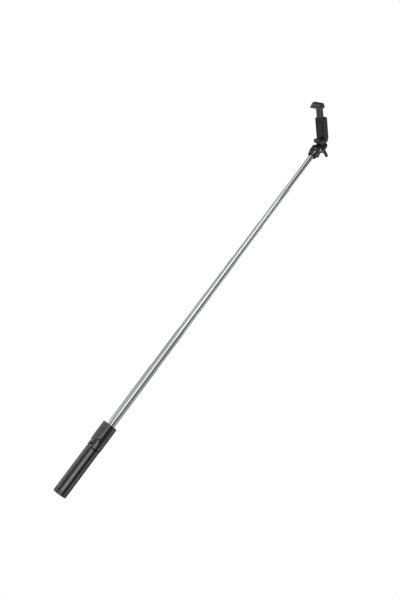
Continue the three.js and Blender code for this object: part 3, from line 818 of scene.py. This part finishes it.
finish_piece(collar(), "tube_7", "head_dark", ["neck_collar"], 0.15)
washer_low, washer_high = box_mm("swivel_washer")
washer = ring("neck_washer", 8.6, 2, washer_low[2], washer_high[2])
finish_piece(washer, "tube_7", "plain_steel", ["swivel_washer"], 0.05)
finish_piece(swivel_screw(), "tube_7", "plain_steel", ["swivel_screw"], 0.2)
finish_piece(fork(), "head", "head_grey", ["head_fork"], 0.5)
finish_piece(tilt_bolt(), "head", "plain_steel", ["tilt_bolt"], 0.2)
finish_piece(tilt_nut(), "head", "plain_steel", ["tilt_nut"], 0.2)


# ---------------------------------------------------------------- clamp, drawn upright and tipped

CLAMP_TILT = math.radians(66.5)
CLAMP_PLACE = Vector((0, -15.5, 892.8))
TIP = Matrix.Translation(CLAMP_PLACE * MM) @ Matrix.Rotation(CLAMP_TILT, 4, "X")
OPENING = 72.5
SCREW_DEPTH = 11
PLATE_TOP = -20
PLATE_BOTTOM = -25
BASE_BOTTOM = -10
HALF = half_width("clamp_body")
HINGE = Matrix.Rotation(-CLAMP_TILT, 4, "X") @ (Vector((0, 0, HINGE_HEIGHT)) - CLAMP_PLACE)
SHELF_TOP = -1.6
HOUSING_FRONT = 10.2
HOUSING_BACK = 22
HOUSING_TOP = 44


CUP_RIM = -15.6
CUP_BORE = 8.9


def bracket():
    """A knuckle, an arm, and a cup with a tapered outside that carries the clamp's foot."""
    reach = 10.6
    arm = block("t", (-6, HINGE.y, PLATE_BOTTOM), (6, SCREW_DEPTH, PLATE_TOP))
    profile = [(0, PLATE_BOTTOM), (9, PLATE_BOTTOM)] + bow((9, PLATE_BOTTOM), (10.4, -24.8), (12.2, -21), 8)
    profile += bow((12.2, -21), (13.1, -19), (12.8, CUP_RIM), 8) + [(0, CUP_RIM)]
    cup = combine(lathe("t_cup", profile, SIDES, 0, SCREW_DEPTH),
                  ("cut", rod("t", CUP_BORE, PLATE_TOP, -10, SIDES, 0, SCREW_DEPTH)),
                  ("cut", block("t", (-15, -20, -40), (15, HINGE.y + reach, 0))))
    knuckle = bar("bracket", KNUCKLE_RADIUS, -6, 6, "X", HINGE.y, HINGE.z, 80)
    return combine(knuckle, ("join", arm), ("join", cup),
                   ("cut", rod("t", CUP_BORE, PLATE_TOP, -10, SIDES, 0, SCREW_DEPTH)),
                   ("cut", bar("t", 2.2, -8, 8, "X", HINGE.y, HINGE.z)),
                   ("cut", rod("t", 3.4, -30, -15, 48, 0, SCREW_DEPTH)))


def wing_screw():
    """A shank, a round hub and two swept blades."""
    top = PLATE_BOTTOM - 0.3
    profile = [(0, top - 7.5), (3.6, top - 7.5), (4.5, top - 6.5), (5.3, top - 1.5), (5.3, top), (0, top)]
    hub = lathe("wing_knob", profile, 72, 0, SCREW_DEPTH)
    blade = [(0, top - 0.8), (5, top - 0.8)]
    blade += bow((5, top - 0.8), (8, top - 2), (9.8, top - 8))
    blade += [(12.4, top - 15)]
    blade += bow((12.4, top - 15), (12.8, top - 19.2), (9.4, top - 19.4))
    blade += bow((9.4, top - 19.4), (7, top - 19), (5.6, top - 14.6))
    blade += bow((5.6, top - 14.6), (3.6, top - 8.6), (0, top - 7.6))
    thin = 1.3
    steps = [("join", rod("t", 2.9, top - 1, -11.5, 48, 0, SCREW_DEPTH))]
    for turn in (33, 213):
        wing = prism("t", blade, -thin, thin, "Y")
        wing.data.transform(Matrix.Translation((0, SCREW_DEPTH * MM, 0))
                            @ Matrix.Rotation(math.radians(turn), 4, "Z"))
        steps.append(("join", wing))
    return combine(hub, *steps)


LIP_HALF = 6.4


def clamp_body():
    """The housing, a shelf that narrows towards a small front lip, and the round foot."""
    side = [(3, BASE_BOTTOM), (HOUSING_BACK - 4, BASE_BOTTOM)]
    side += bow((HOUSING_BACK - 4, BASE_BOTTOM), (HOUSING_BACK, BASE_BOTTOM),
                (HOUSING_BACK, BASE_BOTTOM + 5))
    side += [(HOUSING_BACK, HOUSING_TOP), (HOUSING_FRONT, HOUSING_TOP), (HOUSING_FRONT, SHELF_TOP),
             (-1.3, SHELF_TOP), (-1.6, 3.2)]
    side += bow((-1.6, 3.2), (-4.6, 3.6), (-4.8, 0))
    side += bow((-4.8, 0), (-5, -5), (-2.4, -5.8), 10)
    side += bow((-2.4, -5.8), (1.6, -6.4), (3, BASE_BOTTOM), 10)[:-1]
    plan = [(-LIP_HALF, -8), (LIP_HALF, -8), (LIP_HALF, 1), (HALF, 8), (HALF, 30), (-HALF, 30), (-HALF, 8),
            (-LIP_HALF, 1)]
    body = combine(prism("clamp_shell", side, -HALF, HALF, "X"), ("keep", prism("t", plan, -30, 60, "Z")))
    foot = rod("t", 8.6, PLATE_TOP + 0.3, BASE_BOTTOM + 1, SIDES, 0, SCREW_DEPTH)
    cavity = block("t", (-8.7, 12, -4.6), (8.7, HOUSING_BACK + 1, HOUSING_TOP + 1))
    return combine(body, ("join", foot), ("cut", rod("t", 4.9, PLATE_TOP, -10.1, 64, 0, SCREW_DEPTH)),
                   ("cut", cavity))


COVER_SCREW_HEIGHTS = (0, 38)


def rounded_rectangle(a0, b0, a1, b1, r):
    return arc(a1 - r, b1 - r, r, 0, 90, 8) + arc(a0 + r, b1 - r, r, 90, 180, 8) + \
        arc(a0 + r, b0 + r, r, 180, 270, 8) + arc(a1 - r, b0 + r, r, 270, 360, 8)


def rear_cover():
    """A flat lid with a field of shallow cross ribs and two countersunk screws."""
    plate = prism("housing_lid", rounded_rectangle(-HALF, -4.6, HALF, HOUSING_TOP, 2.2),
                  HOUSING_BACK + 0.3, HOUSING_BACK + 2, "Y")
    steps = [("cut", bar("t", 1.6, 20, 26, "Y", 0, height, 40)) for height in COVER_SCREW_HEIGHTS]
    back = HOUSING_BACK + 2
    for i in range(9):
        z = 8 + 3 * i
        steps.append(("cut", block("t", (-7, back - 0.4, z - 0.5), (7, back + 1, z + 0.5))))
    return combine(plate, *steps)


def upper_jaw():
    underside = OPENING + 3.9
    hook = [(3, underside), (-1.1, OPENING + 0.6), (-1.3, OPENING - 0.9)]
    hook += bow((-1.3, OPENING - 0.9), (-3.9, OPENING - 1.2), (-3.7, OPENING + 0.4))
    hook += bow((-3.7, OPENING + 0.4), (-1.6, OPENING + 2.4), (1.6, OPENING + 4.4))
    hook += bow((1.6, OPENING + 4.4), (4.2, OPENING + 7.4), (6.5, OPENING + 7.5), 10)
    hook += [(12.4, OPENING + 7.1)]
    hook += bow((12.4, OPENING + 7.1), (17.4, OPENING + 6), (18.4, OPENING + 0.5), 12)
    hook += [(19.3, OPENING - 5.5), (12.4, OPENING - 5.5), (12.4, underside)]
    stem = block("t", (-8.2, 12.4, 12), (8.2, 15.6, OPENING))
    jaw = combine(prism("jaw_hook", hook, -HALF, HALF, "X"), ("join", stem))
    steps = []
    for x in (-4.5, 4.5):
        steps.append(("cut", block("t", (x - 0.6, 15.0, 16), (x + 0.6, 16, OPENING - 12))))
    return combine(jaw, *steps)


def pad(name, node_half, y0, y1, z0, z1, ribs, along):
    """A rubber pad with grip ribs; along says which way the ribs are stepped."""
    sheet = block(name, (-node_half, y0, z0), (node_half, y1, z1))
    rib_half = node_half - 1
    depth = 0.35
    steps = []
    for i in range(ribs):
        t = (i + 0.5) / ribs
        if along == "z":
            z = z0 + 1 + (z1 - z0 - 2) * t
            groove = block("t", (-rib_half, y0 - 1, z - depth), (rib_half, y0 + depth, z + depth))
        else:
            y = y0 + 0.6 + (y1 - y0 - 1.2) * t
            top = z1 if along == "up" else z0
            low, high = (top - depth, top + 1) if along == "up" else (top - 1, top + depth)
            groove = block("t", (-rib_half, y - depth, low), (rib_half, y + depth, high))
        steps.append(("cut", groove))
    return combine(sheet, *steps)


def coil(name, x):
    """A close-wound spring with its real turns."""
    turns = 17
    steps_per_turn = 16
    low, high = -3.6, 25.6
    wind = 1.65
    depth = 19
    data = bpy.data.curves.new(name, "CURVE")
    data.dimensions = "3D"
    data.bevel_depth = 0.42 * MM
    data.bevel_resolution = 3
    data.use_fill_caps = True
    spline = data.splines.new("POLY")
    count = turns * steps_per_turn + 1
    spline.points.add(count - 1)
    for i in range(count):
        t = i / (count - 1)
        angle = 2 * math.pi * turns * t
        place = Vector((x + wind * math.cos(angle), depth + wind * math.sin(angle), low + (high - low) * t))
        point = TIP @ (place * MM)
        spline.points[i].co = (*point, 1)
    wound = bpy.data.objects.new(name, data)
    bpy.context.collection.objects.link(wound)
    data.materials.append(SKINS["plain_steel"])
    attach(wound, "clamp")
    return wound


finish_piece(bracket(), "bracket", "head_dark", ["tilt_bracket"], 0.5, TIP)
finish_piece(wing_screw(), "wing_screw", "head_grey", ["wing_screw"], 0.55, TIP)
insert = ring("thread_insert", 4.6, 3.3, -19.7, -10.4, 64, 0, SCREW_DEPTH)
finish_piece(insert, "clamp", "brass", ["threaded_insert"], 0.15, TIP)
finish_piece(clamp_body(), "clamp", "head_dark", ["clamp_body"], 0.6, TIP)
finish_piece(rear_cover(), "clamp", "satin_black", ["clamp_rear_cover"], 0.2, TIP)
for i, height in enumerate(COVER_SCREW_HEIGHTS):
    screw = bar(f"lid_screw_{i + 1}", 1.3, HOUSING_BACK + 0.5, HOUSING_BACK + 1.7, "Y", 0, height, 40)
    cross = []
    for half_x, half_z in ((0.9, 0.2), (0.2, 0.9)):
        arm = block("t", (-half_x, HOUSING_BACK + 1.1, height - half_z),
                    (half_x, HOUSING_BACK + 2, height + half_z))
        cross.append(("cut", arm))
    combine(screw, *cross)
    finish_piece(screw, "clamp", "plain_steel", [f"cover_screw_{i + 1}"], 0.12, TIP)
finish_piece(upper_jaw(), "jaw", "head_grey", ["upper_jaw"], 0.6, TIP)
lower_pad = pad("shelf_pad", 5.6, -1, 9.6, -1.3, 0, 5, "up")
finish_piece(lower_pad, "clamp", "rubber_black", ["lower_pad"], 0.15, TIP)
back_pad = pad("rest_pad", 8.4, 8.5, 9.9, 6, 41, 12, "z")
finish_piece(back_pad, "clamp", "rubber_black", ["back_pad"], 0.15, TIP)
upper_pad = pad("hook_pad", 9.4, 3.2, 11.8, OPENING, OPENING + 3.6, 4, "down")
finish_piece(upper_pad, "jaw", "rubber_black", ["upper_pad"], 0.15, TIP)
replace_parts(coil("left_spring", -5), "clamp_spring_left")
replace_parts(coil("right_spring", 5), "clamp_spring_right")
post = bar("spring_bar", 0.9, -8.3, 8.3, "X", 19, 30, 32)
finish_piece(post, "clamp", "plain_steel", ["spring_post"], 0.1, TIP)
